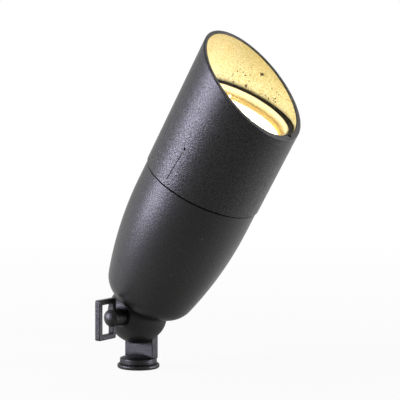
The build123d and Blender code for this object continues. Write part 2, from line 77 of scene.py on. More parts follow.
# Coat: roughness and shine, in the dips of its grain and on the tops
COAT_ROUGHNESS = (0.42, 0.34)
COAT_SHINE = (0.1, 0.9)
HOUSING_SPREAD = 0.95  # how far the grain strays before its shine is least or most
COARSE_SPREAD = 0.32

# Painted shade in inner corners and on upward faces: where it is full and where it ends
CORNER_OPENNESS = (0.45, 0.95)
CORNER_RAYS = 8
FACE_UPWARD = (0.8, 0.5)
SHOWS_THROUGH = 0.15  # share of the coat that still shows where the painted shade is darkest

# Bare brass: ranges of the sand's noise, and how much they show
SAND_MARKS = (0.36, 0.54)
MARK_STRENGTH = 0.62
SAND_GLINTS = (0.57, 0.64)
GLINTS_HIGH_UP = 0.12
LINING_LAMP_LIGHT = (0.4, -0.45)  # painted lamp light: paler at the gasket near the lamp, darker at the top of the mouth

# Plain finishes: shade and roughness go from the dips of the grain to the tops
PLAIN_SHADE = (0.78, 1.15)
PLAIN_ROUGHNESS = (0.85, 1.15)

# Lamp
BOWL_FULLNESS = 0.58  # pull of the bowl's side towards a cup, from 0 to 1
EDGE_GLOW = 0.3       # glow of the bowl's edge; the rest has the lamp's whole strength
# Faint painted glow of the lamp glass's ledge, for light thrown on it from the bright bore
LEDGE_GLOW = 0.12
RIM_GLOW = 0.16
CAPSULE_GAIN = 2.0    # strength of the capsule when the mirror's is 1
MIRROR_ROUGHNESS = 0.2
RIM_ROUGHNESS = 0.45
FILM_ROUGHNESS = (0.03, 0.12)
COVER_OPACITY = 0.12
COVER_IOR = 1.52

# Threads
TURN_STEPS = 48
RIDGE_SIDES = 3

# Floor, room and camera, with distances in metres
FLOOR_HALF = 4.0
FLOOR_DROP = 0.0003         # under the foot's face, so that the two don't share a plane
SHADOW_FADE = (0.1, 0.6)    # distance from the foot over which the floor loses its shadow
FLOOR_TURN = (-0.12, 0.02)  # distance behind the foot over which the floor turns bright to gloss
FOOT_SHADE = (0.03, 0.1)    # distance from the foot over which its shade ends to gloss
FOOT_GLOSS = 0.45
ROOM_TURN = (-0.6, 0.6)     # share of a ray towards the bright side over which the room turns bright
MOUTH_GRID = math.radians(6)
SENSOR_WIDTH = 36.0         # millimetres
CLIP_NEAR = 0.05
CLIP_FAR = 50.0


def linear(code):
    """Linear colour of an sRGB hex code."""
    parts = [int(code[i:i + 2], 16) / 255 for i in (1, 3, 5)]
    return [c / 12.92 if c <= 0.04045 else ((c + 0.055) / 1.055) ** 2.4 for c in parts]


def rgba(value):
    """Colour with full opacity."""
    return (*value, 1.0)


def length(name, description, millimetres):
    """Length property with a default in millimetres."""
    return bpy.props.FloatProperty(
        name=name, description=description, default=millimetres * MM, unit="LENGTH", precision=5
    )


def colour(name, description, code):
    """Colour property with a default as an sRGB hex code."""
    return bpy.props.FloatVectorProperty(
        name=name, description=description, default=rgba(linear(code)),
        subtype="COLOR", size=4, min=0, max=1
    )


def place(name, description, point):
    """Place property with a default in metres."""
    return bpy.props.FloatVectorProperty(
        name=name, description=description, default=point, subtype="TRANSLATION"
    )


def number(name, description, value):
    """Plain number property."""
    return bpy.props.FloatProperty(name=name, description=description, default=value)


def count(name, description, value):
    """Whole number property."""
    return bpy.props.IntProperty(name=name, description=description, default=value)


def angle(name, description, degrees):
    """Angle property with a default in degrees."""
    return bpy.props.FloatProperty(
        name=name, description=description, default=math.radians(degrees), subtype="ANGLE"
    )


class SpotlightSizes(bpy.types.PropertyGroup):
    """Sizes of the surface texture, the casting marks, the threads and the lamp's facets."""

    # A fine coat's grain is too small for the render's pixels, so it is drawn as coarse as it needs to show
    coat_grain: length("Coat grain", "Width of one grain of the powder coat", 0.6)
    coat_relief: length("Coat relief", "Height of the grains on the smoother housing", 0.09)
    coarse_relief: length("Coarse relief", "Height of the grains on cowl, foot and handle", 0.14)
    cast_wave: length("Casting wave", "Width of the casting's slow waves", 9.0)
    cast_wave_relief: length("Casting wave relief", "Height of the casting's waves", 0.03)
    parting: length("Parting", "Height of the parting line above the tilt axis", 75.85)
    parting_width: length("Parting width", "Half width of the dirt in the parting line", 0.5)
    # These reaches are of the painted shade in inner corners, on the castings and on the foot
    corner_shade_reach: length("Dirt reach", "How far dirt reaches out of inner corners", 4.0)
    foot_corner_shade_reach: length("Foot dirt reach", "How far dirt reaches out of the foot's corners", 1.5)
    dimple_radius: length("Dimple radius", "Radius of a dimple in the coated castings", 0.5)
    dimple_depth: length("Dimple depth", "Depth of a dimple in the coated castings", 0.2)
    seam_width: length("Seam width", "Width of the mould line down the cowl", 0.3)
    seam_core: length("Seam core", "Half width of the mould line's deepest part", 0.06)
    seam_edge: length("Seam edge", "Half width of the mould line's edges", 0.24)
    seam_wander: length("Seam wander", "Distance over which the mould line wanders", 3.0)
    seam_fade: length("Seam fade", "Height up the mould line where it starts to fade", 12.0)
    seam_dot: length("Seam dot", "Radius of the dot at the mould line's top", 0.6)
    lining_radius: length("Lining radius", "Radius of the bare bore at the gasket", 27.3)
    lining_start: length("Lining start", "Height of the gasket's top above the tilt axis", 120.15)
    lining_draft: angle("Lining draft", "Outward draft of the bore above the gasket", 2.8)
    lining_lap: length("Lining lap", "Width of the coat lapped into the bore", 0.4)
    lining_blend: length("Lining blend", "Width over which the coat feathers out", 0.15)
    lining_height: length("Lining height", "Height from the gasket to the mouth's top", 23.0)
    lining_patch: length("Lining patch", "Width of the patches in the bore", 6.0)
    # The black coat carried above the gasket is painted shade, rising toward the low side
    gasket_shade_slope: angle("Dirt slope", "Slope of the dirt over the gasket, up to the low side", 2.0)
    cut_height: length("Cut height", "Height of the slanted cut on the body axis", 132.45)
    cut_angle: angle("Cut angle", "Slant of the cowl's cut", 22.3)
    cut_turn: angle("Cut turn", "Turn of the cut's low side from +X", 2.5)
    sand_grain: length("Sand grain", "Width of a sand mark in the bare casting", 0.6)
    sand_relief: length("Sand relief", "Height of the sand marks", 0.12)
    pit_spacing: length("Pit spacing", "Distance between casting pits inside the cowl", 1.6)
    pit_floor: length("Pit floor", "Radius of a small pit's flat floor", 0.315)
    pit_radius: length("Pit radius", "Radius of a small casting pit", 0.45)
    pit_depth: length("Pit depth", "Depth of a casting pit", 0.3)
    wide_drift: length("Wide drift", "Radius of the larger area of small pits", 8.0)
    small_drift: length("Small drift", "Radius of the smaller area of small pits", 4.0)
    glint_height: length("Glint height", "Height above the gasket at which glints are few", 8.0)
    large_pit: length("Large pit", "Radius of the one large casting pit", 1.1)
    gasket_flaw: length("Gasket flaw", "Radius of the flaw beside the gasket", 0.9)
    lip_chip: length("Lip chip", "Radius of the chip in the cowl's lip", 1.7)
    stud_radius: length("Stud radius", "Crest radius of the thumbscrew's thread", 2.96)
    stem_radius: length("Stem radius", "Root radius of the tapped hole in the foot", 4.55)
    thread_pitch: length("Thread pitch", "Rise of both threads in one turn", 1.0)
    thread_ridge: length("Thread ridge", "Size of the thread's three-sided ridge", 0.5)
    lamp_rim: length("Lamp rim", "Height of the lamp's rim above the tilt axis", 119.25)
    rim_radius: length("Rim radius", "Inner radius of the lamp's bright glass rim", 24.2)
    rim_glow_depth: length("Rim glow depth", "Depth below the rim to which the glass glows", 3.6225)
    rim_stipple: length("Rim stipple", "Width of the stipple in the pressed glass", 1.2)
    rim_stipple_relief: length("Rim stipple relief", "Height of the stipple", 0.05)
    facet_mouth: length("Facet mouth", "Depth of the reflector's mouth below the rim", 3.45)
    facet_radius: length("Facet radius", "Radius of the mirrored bowl at its mouth", 22.3)
    facet_depth: length("Facet depth", "Depth of the mirrored bowl", 26.7)
    facet_neck: length("Facet neck", "Radius of the bowl's hole for the capsule", 5.1)
    facet_wall: length("Facet wall", "Thickness of the mirrored bowl", 0.06)
    edge_dim: length("Dim edge", "Depth to which the bowl's edge is dim", 1.44)
    edge_bright: length("Bright edge", "Depth from which the bowl is bright", 2.52)
    cover_film: length("Cover film", "Width of the film's patches", 7.0)
    facet_rows: count("Facet rows", "Rows of facets down the bowl", 9)
    facets_round: count("Facets round", "Facets in one row", 40)


class SpotlightColours(bpy.types.PropertyGroup):
    """Colours of the finishes."""

    coat: colour("Coat", "Black powder coat between its grains", "#171714")
    coat_grain: colour("Coat grain", "Black powder coat on its grains", "#292924")
    # Dark colour of the dirt in lines and chips, and of the painted shade in inner corners and on upward faces
    dirt_and_shade: colour("Dirt", "Dirt in lines, corners and chips", "#0b0b0a")
    lining: colour("Lining", "Bare cast brass inside the cowl", "#f2f2c4")
    # This colour also paints the shade toward the top of the mouth, far from the lamp
    lining_patches_and_shade: colour("Lining shade", "Darker patches of the cast brass", "#e8da96")
    speck: colour("Speck", "Dark sand marks in the cast brass", "#c9a94f")
    # Painted glints: the lamp's light caught on bright grains of the brass near the gasket
    painted_glint: colour("Glint", "Bright grains of the cast brass near the lamp", "#fffdf0")
    pit: colour("Pit", "Casting pits inside the cowl", "#3a220e")
    glow: colour("Glow", "Warm light of the lamp", "#fff9ed")
    lamp_glass: colour("Lamp glass", "Pressed glass of the lamp's rim", "#faecbe")
    ledge: colour("Ledge", "Cemented ledge under the cover glass", "#e0c06c")
    cover_glass: colour("Cover glass", "Clear glass over the lamp", "#fff6e0")
    floor: colour("Floor", "Floor as it lights the object", "#8c8c8c")


class SpotlightStage(bpy.types.PropertyGroup):
    """Camera and studio."""

    camera_place: place("Camera place", "Where the camera stands", (0.61729, -0.87091, 0.1825))
    camera_target: place("Camera target", "Middle of the picture", (0.02513, 0.01676, 0.08373))
    camera_roll: angle("Camera roll", "Turn of the camera about its view line", 0.27)
    lens: number("Lens", "Focal length in millimetres", 195.46)
    key_power: number("Key power", "Watts of the wide light on the left", 19.5)
    side_power: number("Side power", "Watts of the weak light behind it on the left", 0.8)
    right_power: number("Right power", "Watts of the strip light on the right", 8.0)
    mouth_power: number("Mouth power", "Watts of the gridded light into the cowl's mouth", 0.006)
    ambient: number("Ambient", "Strength of the light from all round", 0.18)
    front_gloss: number("Front gloss", "Brightness of the room in front, as gloss shows it", 0.14)
    floor_gloss: number("Floor gloss", "Brightness of the floor in front, as gloss shows it", 0.36)
    bright_side: angle("Bright side", "Turn of the room's bright side from straight behind", 45)
    floor_side: angle("Floor side", "Turn of the floor's bright side from straight behind", 5)
    floor_white: number("Floor white", "Share of the floor's white that no shadow reaches", 0.93)
    lamp_strength: number("Lamp strength", "Strength of the lamp's light", 2.1)


def settings():
    """The three groups of settings."""
    scene = bpy.context.scene
    return scene.spotlight_sizes, scene.spotlight_colours, scene.spotlight_stage


def add(tree, kind, inputs=None, **values):
    """Add a node with its settings; an input takes a value, an output, or a node for its first output."""
    node = tree.nodes.new(kind)
    for name, value in values.items():
        setattr(node, name, value)
    for socket, value in (inputs or {}).items():
        if isinstance(value, bpy.types.Node):
            value = next(output for output in value.outputs if output.enabled)
        if isinstance(value, bpy.types.NodeSocket):
            tree.links.new(value, node.inputs[socket])
        else:
            node.inputs[socket].default_value = value
    return node


def empty_material(name):
    """New material with an empty node tree."""
    material = bpy.data.materials.new(name)
    material.use_nodes = True
    material.node_tree.nodes.clear()
    return material, material.node_tree


def surface(tree, inputs):
    """Finish a material with one surface shader."""
    shader = add(tree, "ShaderNodeBsdfPrincipled", inputs)
    add(tree, "ShaderNodeOutputMaterial", {"Surface": shader})


def upright(tree):
    """Coordinates of the head standing upright, with Z along the body axis and zero on the tilt axis."""
    point = add(tree, "ShaderNodeTexCoord").outputs["Object"]
    turned = {"Vector": point, "Location": PIVOT, "Rotation": (0, HEAD_TILT, 0)}
    return add(tree, "ShaderNodeMapping", turned, vector_type="TEXTURE")


def axis_distance(tree, where):
    """Distance from the body axis."""
    flat = add(tree, VECTOR_MATH, {0: where, 1: (1, 1, 0)}, operation="MULTIPLY")
    return add(tree, VECTOR_MATH, {0: flat}, operation="LENGTH")


def new_object(name, data):
    """New object in the scene."""
    thing = bpy.data.objects.new(name, data)
    bpy.context.scene.collection.objects.link(thing)
    return thing


def dress(node_name, material):
    """Give a CAD node its finish."""
    if node_name not in frame["nodes"]:
        raise RuntimeError("the frame has no node named " + node_name)
    slots = frame["nodes"][node_name].data.materials
    slots.clear()
    slots.append(material)


def on_body(degrees, height, radius):
    """Point of the upright head at an angle about its axis from +X; lengths are in millimetres."""
    turn = math.radians(degrees)
    return Vector((radius * math.cos(turn), radius * math.sin(turn), height)) * MM


# Marks on the castings
COWL_RADIUS = 29.85
BORE_RADIUS = 27.65
SEAM_LOW = on_body(-95.9, 79.4, COWL_RADIUS)
SEAM_HIGH = on_body(-92.6, 98.0, COWL_RADIUS)
SEAM_DOT = on_body(-92.5, 97.3, COWL_RADIUS)
LARGE_PIT = on_body(114.4, 130.6, BORE_RADIUS)
GASKET_FLAW = on_body(123.5, 121.7, BORE_RADIUS)
WIDE_DRIFT = on_body(131.0, 122.6, BORE_RADIUS)
SMALL_DRIFT = on_body(92.7, 124.2, BORE_RADIUS)
LIP_CHIP = on_body(7.0, 121.4, 27.8)
LOW_DIMPLE = on_body(-50.1, 37.9, 27.35)
HIGH_DIMPLE = on_body(-39.2, 61.1, 29.15)


def round_mark(tree, where, middle, radius):
    """Depth, from 0 to 1, of one roundish pit about a point, with an uneven edge."""
    away = add(tree, VECTOR_MATH, {0: where, 1: middle}, operation="DISTANCE")
    uneven = add(tree, NOISE, {"Vector": where, "Scale": 1 / radius})
    away = add(tree, MATH, {0: uneven, 1: 2 * radius, 2: away}, operation="MULTIPLY_ADD")
    away = add(tree, MATH, {0: away, 1: radius}, operation="SUBTRACT")
    return add(tree, MAP_RANGE, {"Value": away, "From Min": radius, "From Max": radius / 2})


def soil_and_shade(tree, coat, share):
    """Darken a share of a coat with dirt and painted shade: it takes their dark colour and loses its shine."""
    _, colours, _ = settings()
    tone = {"Factor": share, "A": coat["Base Color"], "B": colours.dirt_and_shade}
    clean_and_lit = add(tree, MATH, {0: 1.0, 1: share}, operation="SUBTRACT")
    shine = {0: coat["Specular IOR Level"], 1: clean_and_lit}
    coat["Base Color"] = add(tree, MIX, tone, data_type="RGBA")
    coat["Specular IOR Level"] = add(tree, MATH, shine, operation="MULTIPLY")


def dirt_and_shade_share(tree, where, reach, shaded_upward):
    """Share of darkening: dirt in the parting line, and painted shade in inner corners and, where asked, on upward
    faces.
    """
    sizes, _, _ = settings()
    height = add(tree, SEPARATE, {"Vector": where}).outputs["Z"]
    away = add(tree, MATH, {0: height, 1: sizes.parting}, operation="SUBTRACT")
    away = add(tree, MATH, {0: away}, operation="ABSOLUTE")
    width = sizes.parting_width
    clean_and_lit = add(tree, MAP_RANGE, {"Value": away, "From Min": width / 2, "From Max": width})
    # Painted shade: the coat is darkened in inner corners, where little open sky reaches
    sky = add(
        tree, "ShaderNodeAmbientOcclusion", {"Distance": reach}, only_local=True, samples=CORNER_RAYS
    ).outputs["AO"]
    ranges = [(sky, CORNER_OPENNESS)]
    if shaded_upward:
        # Painted shade on upward faces, which lie under the dark housing and reflect it
        facing = add(tree, "ShaderNodeNewGeometry").outputs["Normal"]
        upward = add(tree, SEPARATE, {"Vector": facing}).outputs["Z"]
        ranges.append((upward, FACE_UPWARD))
    for value, (full, none) in ranges:
        span = {"Value": value, "From Min": full, "From Max": none, "To Min": SHOWS_THROUGH}
        swept = add(tree, MAP_RANGE, span)
        clean_and_lit = add(tree, MATH, {0: clean_and_lit, 1: swept}, operation="MULTIPLY")
    return add(tree, MATH, {0: 1.0, 1: clean_and_lit}, operation="SUBTRACT")


def powder_coat(tree, where, relief, spread, reach, shaded_upward=False):
    """Shader inputs of a fine-textured black powder coat on a rough casting, with its dirt and painted shade."""
    sizes, colours, _ = settings()
    grain = add(
        tree, NOISE, {"Vector": where, "Scale": 1 / sizes.coat_grain, "Detail": 1.0, "Roughness": 0.6}
    )
    wave = add(tree, NOISE, {"Vector": where, "Scale": 1 / sizes.cast_wave, "Detail": 2.0})
    tone = add(tree, MIX, {"Factor": grain, "A": colours.coat, "B": colours.coat_grain}, data_type="RGBA")
    dip, top = COAT_ROUGHNESS
    rough = add(tree, MAP_RANGE, {"Value": grain, "To Min": dip, "To Max": top})
    dip, top = COAT_SHINE
    shine = add(
        tree, MAP_RANGE,
        {"Value": grain, "From Min": 0.5 - spread, "From Max": 0.5 + spread, "To Min": dip, "To Max": top}
    )
    normal = add(tree, BUMP, {"Height": wave, "Distance": sizes.cast_wave_relief})
    normal = add(tree, BUMP, {"Height": grain, "Distance": relief, "Normal": normal})
    coat = {"Base Color": tone, "Roughness": rough, "Specular IOR Level": shine, "Normal": normal}
    soil_and_shade(tree, coat, dirt_and_shade_share(tree, where, reach, shaded_upward))
    return coat


def coated_casting(name, relief, spread, reach, dimples=(), shaded_upward=False):
    """Die-cast aluminium under black textured polyester powder: dark, dry gloss, sandy to the eye."""
    sizes, _, _ = settings()
    material, tree = empty_material(name)
    where = upright(tree)
    coat = powder_coat(tree, where, relief, spread, reach, shaded_upward)
    for middle in dimples:
        pit = round_mark(tree, where, middle, sizes.dimple_radius)
        dent = {"Height": pit, "Distance": -sizes.dimple_depth, "Normal": coat["Normal"]}
        coat["Normal"] = add(tree, BUMP, dent)
    surface(tree, coat)
    return material


def plain_finish(name, code, grain, relief, rough, metal=0.0):
    """Finish of one colour with a grain in its shade, gloss and relief; lengths in millimetres."""
    material, tree = empty_material(name)
    # Grains too fine for the render's pixels are drawn as coarse as they need to show
    noise = add(tree, NOISE, {"Vector": upright(tree), "Scale": 1 / (grain * MM), "Detail": 3.0})
    dark, pale = ([min(1, part * level) for part in linear(code)] for level in PLAIN_SHADE)
    shade = add(tree, MIX, {"Factor": noise, "A": rgba(dark), "B": rgba(pale)}, data_type="RGBA")
    dip, top = (min(1, rough * level) for level in PLAIN_ROUGHNESS)
    roughness = add(tree, MAP_RANGE, {"Value": noise, "To Min": dip, "To Max": top})
    normal = add(tree, BUMP, {"Height": noise, "Distance": relief * MM})
    surface(tree, {"Base Color": shade, "Roughness": roughness, "Normal": normal, "Metallic": metal})
    return material


class SPOTLIGHT_OT_castings(bpy.types.Operator):
    """Coat the foot, the housing and the thumbscrew's handle"""

    bl_idname = "spotlight.castings"
    bl_label = "Black castings"

    def execute(self, context):
        sizes, _, _ = settings()
        coarse = sizes.coarse_relief
        reach = sizes.corner_shade_reach
        foot_reach = sizes.foot_corner_shade_reach
        dimples = (LOW_DIMPLE, HIGH_DIMPLE)
        housing = coated_casting("powder_coated_housing", sizes.coat_relief, HOUSING_SPREAD, reach, dimples)
        # The foot's upward faces take painted shade
        foot = coated_casting("powder_coated_foot", coarse, COARSE_SPREAD, foot_reach, shaded_upward=True)
        handle = coated_casting("powder_coated_handle", coarse, COARSE_SPREAD, reach)
        dress("lower_housing", housing)
        dress("knuckle_base", foot)
        dress("thumbscrew_handle", handle)
        return {"FINISHED"}


def seam_groove(tree, where):
    """Depth, from 0 to 1, of the broken mould line down the cowl's outside and the dot at its top."""
    sizes, _, _ = settings()
    whole = (SEAM_HIGH - SEAM_LOW).length
    along = (SEAM_HIGH - SEAM_LOW).normalized()
    across = along.cross(Vector((SEAM_LOW.x, SEAM_LOW.y, 0))).normalized()
    wander = add(tree, NOISE, {"Vector": where, "Scale": 1 / sizes.seam_wander, "Detail": 2.0})
    offset = add(tree, VECTOR_MATH, {0: where, 1: SEAM_LOW}, operation="SUBTRACT")
    side = add(tree, VECTOR_MATH, {0: offset, 1: across}, operation="DOT_PRODUCT")
    side = add(tree, MATH, {0: wander, 1: sizes.seam_width, 2: side}, operation="MULTIPLY_ADD")
    side = add(tree, MATH, {0: side, 1: sizes.seam_width / 2}, operation="SUBTRACT")
    side = add(tree, MATH, {0: side}, operation="ABSOLUTE")
    line = add(tree, MAP_RANGE, {"Value": side, "From Min": sizes.seam_edge, "From Max": sizes.seam_core})
    reach = add(tree, VECTOR_MATH, {0: offset, 1: along}, operation="DOT_PRODUCT")
    start = add(tree, MATH, {0: reach, 1: 0.0}, operation="GREATER_THAN")
    end = add(tree, MAP_RANGE, {"Value": reach, "From Min": whole, "From Max": sizes.seam_fade})
    depth = add(tree, SEPARATE, {"Vector": where}).outputs["Y"]
    front = add(tree, MATH, {0: depth, 1: 0.0}, operation="LESS_THAN")
    for limit in (start, end, front):
        line = add(tree, MATH, {0: line, 1: limit}, operation="MULTIPLY")
    dot = round_mark(tree, where, SEAM_DOT, sizes.seam_dot)
    return add(tree, MATH, {0: line, 1: dot}, operation="MAXIMUM")


def casting_pits(tree, where):
    """Depth, from 0 to 1, of the pits in the bare casting: small ones in two drifts, and two larger."""
    sizes, _, _ = settings()
    cells = add(tree, "ShaderNodeTexVoronoi", {"Vector": where, "Scale": 1 / sizes.pit_spacing})
    # The cells measure distance in pit spacings
    inner = sizes.pit_floor / sizes.pit_spacing
    outer = sizes.pit_radius / sizes.pit_spacing
    small = add(tree, MAP_RANGE, {"Value": cells, "From Min": outer, "From Max": inner})
    wide_drift = round_mark(tree, where, WIDE_DRIFT, sizes.wide_drift)
    small_drift = round_mark(tree, where, SMALL_DRIFT, sizes.small_drift)
    drift = add(tree, MATH, {0: wide_drift, 1: small_drift}, operation="MAXIMUM")
    pits = add(tree, MATH, {0: small, 1: drift}, operation="MULTIPLY")
    large = round_mark(tree, where, LARGE_PIT, sizes.large_pit)
    flaw = round_mark(tree, where, GASKET_FLAW, sizes.gasket_flaw)
    for pit in (large, flaw):
        pits = add(tree, MATH, {0: pits, 1: pit}, operation="MAXIMUM")
    return pits


def bare_share(tree, where):
    """Share of bare metal on the cowl: the bore, above a band of painted shade over the gasket and below the
    lapped rim.
    """
    sizes, _, _ = settings()
    blend = sizes.lining_blend
    spot = add(tree, SEPARATE, {"Vector": where}).outputs
    draft = math.tan(sizes.lining_draft)
    radius = axis_distance(tree, where)
    radius = add(tree, MATH, {0: spot["Z"], 1: -draft, 2: radius}, operation="MULTIPLY_ADD")
    wall = sizes.lining_radius - draft * sizes.lining_start
    inside = add(tree, MAP_RANGE, {"Value": radius, "From Min": wall + blend, "From Max": wall})
    cut = Vector((math.sin(sizes.cut_angle), 0, math.cos(sizes.cut_angle)))
    cut.rotate(Matrix.Rotation(sizes.cut_turn, 3, "Z"))
    rim = cut.z * sizes.cut_height - sizes.lining_lap
    below = add(tree, VECTOR_MATH, {0: where, 1: cut}, operation="DOT_PRODUCT")
    below = add(tree, MAP_RANGE, {"Value": below, "From Min": rim, "From Max": rim - blend})
    # Painted shade: the black coat reaches a little above the gasket, higher toward the low side
    slope = math.tan(sizes.gasket_shade_slope)
    gasket = sizes.lining_start
    above = add(tree, MATH, {0: spot["X"], 1: -slope, 2: spot["Z"]}, operation="MULTIPLY_ADD")
    above = add(tree, MAP_RANGE, {"Value": above, "From Min": gasket, "From Max": gasket + blend})
    bare = add(tree, MATH, {0: inside, 1: below}, operation="MULTIPLY")
    return add(tree, MATH, {0: bare, 1: above}, operation="MULTIPLY")


def bare_brass(tree, where):
    """Colour and normal of bare sand-cast brass: warm, matt and patchy, pitted by the mould, with painted lamp
    light and painted glints, both strongest by the gasket near the lamp.
    """
    sizes, colours, _ = settings()
    height = add(tree, SEPARATE, {"Vector": where}).outputs["Z"]
    height = add(tree, MATH, {0: height, 1: sizes.lining_start}, operation="SUBTRACT")
    pits = casting_pits(tree, where)
    # Fine sand is too small for the render's pixels, so its marks are drawn as coarse as they need to show
    sand = add(tree, NOISE, {"Vector": where, "Scale": 1 / sizes.sand_grain, "Detail": 2.0})
    full, none = SAND_MARKS
    span = {"Value": sand, "From Min": none, "From Max": full, "To Max": MARK_STRENGTH}
    marks = add(tree, MAP_RANGE, span)
    # Painted glints: the brightest sand grains near the lamp, fading higher up
    none, full = SAND_GLINTS
    painted_glint = add(tree, MAP_RANGE, {"Value": sand, "From Min": none, "From Max": full})
    span = {"Value": height, "From Min": sizes.glint_height, "From Max": 0.0, "To Min": GLINTS_HIGH_UP}
    near = add(tree, MAP_RANGE, span)
    painted_glint = add(tree, MATH, {0: painted_glint, 1: near}, operation="MULTIPLY")
    # Painted lamp light: the bore is paler by the gasket near the lamp and darker toward the top of the mouth
    low, high = LINING_LAMP_LIGHT
    span = {"Value": height, "From Max": sizes.lining_height, "To Min": low, "To Max": high}
    pale = add(tree, MAP_RANGE, span)
    patch_and_lamp_light = add(tree, NOISE, {"Vector": where, "Scale": 1 / sizes.lining_patch, "Detail": 3.0})
    patch_and_lamp_light = add(tree, MATH, {0: patch_and_lamp_light, 1: pale}, operation="ADD", use_clamp=True)
    tone = colours.lining_patches_and_shade
    layers = ((patch_and_lamp_light, colours.lining), (marks, colours.speck), (painted_glint, colours.painted_glint), (pits, colours.pit))
    for share, layer in layers:
        tone = add(tree, MIX, {"Factor": share, "A": tone, "B": layer}, data_type="RGBA")
    normal = add(tree, BUMP, {"Height": sand, "Distance": sizes.sand_relief})
    normal = add(tree, BUMP, {"Height": pits, "Distance": -sizes.pit_depth, "Normal": normal})
    return tone, normal


def cowl_finish():
    """Black textured powder outside, bare sand-cast brass inside, with a mould line and a chipped lip."""
    sizes, _, _ = settings()
    material, tree = empty_material("powder_coated_cowl_bare_brass_inside")
    where = upright(tree)
    coat = powder_coat(tree, where, sizes.coarse_relief, COARSE_SPREAD, sizes.corner_shade_reach)
    groove = seam_groove(tree, where)
    soil_and_shade(tree, coat, groove)
    dent = {"Height": groove, "Distance": -sizes.seam_width / 2, "Normal": coat["Normal"]}
    coat["Normal"] = add(tree, BUMP, dent)
    bare = bare_share(tree, where)
    brass, brass_normal = bare_brass(tree, where)
    tone = {"Factor": bare, "A": coat["Base Color"], "B": brass}
    normal = {"Factor": bare, "A": coat["Normal"], "B": brass_normal}
    coat["Base Color"] = add(tree, MIX, tone, data_type="RGBA")
    coat["Normal"] = add(tree, MIX, normal, data_type="VECTOR")
    soil_and_shade(tree, coat, round_mark(tree, where, LIP_CHIP, sizes.lip_chip))
    surface(tree, coat)
    return material


class SPOTLIGHT_OT_cowl(bpy.types.Operator):
    """Finish the cowl, black outside and bare inside"""

    bl_idname = "spotlight.cowl"
    bl_label = "Cowl"

    def execute(self, context):
        dress("cowl", cowl_finish())
        return {"FINISHED"}


class SPOTLIGHT_OT_seals(bpy.types.Operator):
    """Finish the rubber rings and the wire grommet"""

    bl_idname = "spotlight.seals"
    bl_label = "Seals"

    def execute(self, context):
        # Moulded silicone: dull black with a faint powdery bloom
        silicone = plain_finish("moulded_silicone", "#0e0b09", grain=0.8, relief=0.02, rough=0.75)
        # Moulded nitrile: black with a slight sheen
        nitrile = plain_finish("moulded_nitrile", "#161616", grain=0.6, relief=0.01, rough=0.45)
        # Moulded outdoor rubber: dull, a little grey
        rubber = plain_finish("moulded_rubber", "#1c1c1c", grain=0.9, relief=0.03, rough=0.7)
        dress("lamp_gasket", silicone)
        dress("cowl_o_ring", nitrile)
        dress("wire_grommet", rubber)
        return {"FINISHED"}


def make_tree(name, lengths):
    """Geometry node tree with named length inputs, a place, a turn, a material and one geometry output."""
    tree = bpy.data.node_groups.new(name, "GeometryNodeTree")
    kinds = {label: "NodeSocketFloat" for label in lengths}
    kinds.update(Place="NodeSocketVector", Turn="NodeSocketVector", Material="NodeSocketMaterial")
    for label, kind in kinds.items():
        tree.interface.new_socket(label, in_out="INPUT", socket_type=kind)
    tree.interface.new_socket("Geometry", in_out="OUTPUT", socket_type="NodeSocketGeometry")
    return tree, add(tree, "NodeGroupInput").outputs


def close_tree(tree, given, shape):
    """Put the shape in place, make it plain mesh and give it its material."""
    turn = add(tree, "FunctionNodeEulerToRotation", {"Euler": given["Turn"]})
    moved = {"Geometry": shape, "Translation": given["Place"], "Rotation": turn}
    placed = add(tree, "GeometryNodeTransform", moved)
    real = add(tree, "GeometryNodeRealizeInstances", {"Geometry": placed})
    done = add(tree, "GeometryNodeSetMaterial", {"Geometry": real, "Material": given["Material"]})
    add(tree, "NodeGroupOutput", {"Geometry": done})


def grow(name, tree, values):
    """Run a geometry tree on an empty mesh and keep its result as a plain mesh object."""
    piece = new_object(name, bpy.data.meshes.new(name))
    modifier = piece.modifiers.new(name, "NODES")
    modifier.node_group = tree
    for item in tree.interface.items_tree:
        if item.in_out == "INPUT" and item.name in values:
            modifier[item.identifier] = values[item.name]
    bpy.context.view_layer.update()
    evaluated = piece.evaluated_get(bpy.context.evaluated_depsgraph_get())
    mesh = bpy.data.meshes.new_from_object(evaluated)
    piece.modifiers.remove(modifier)
    piece.data = mesh
    if not mesh.polygons:
        raise RuntimeError(name + " came out empty")
    return piece


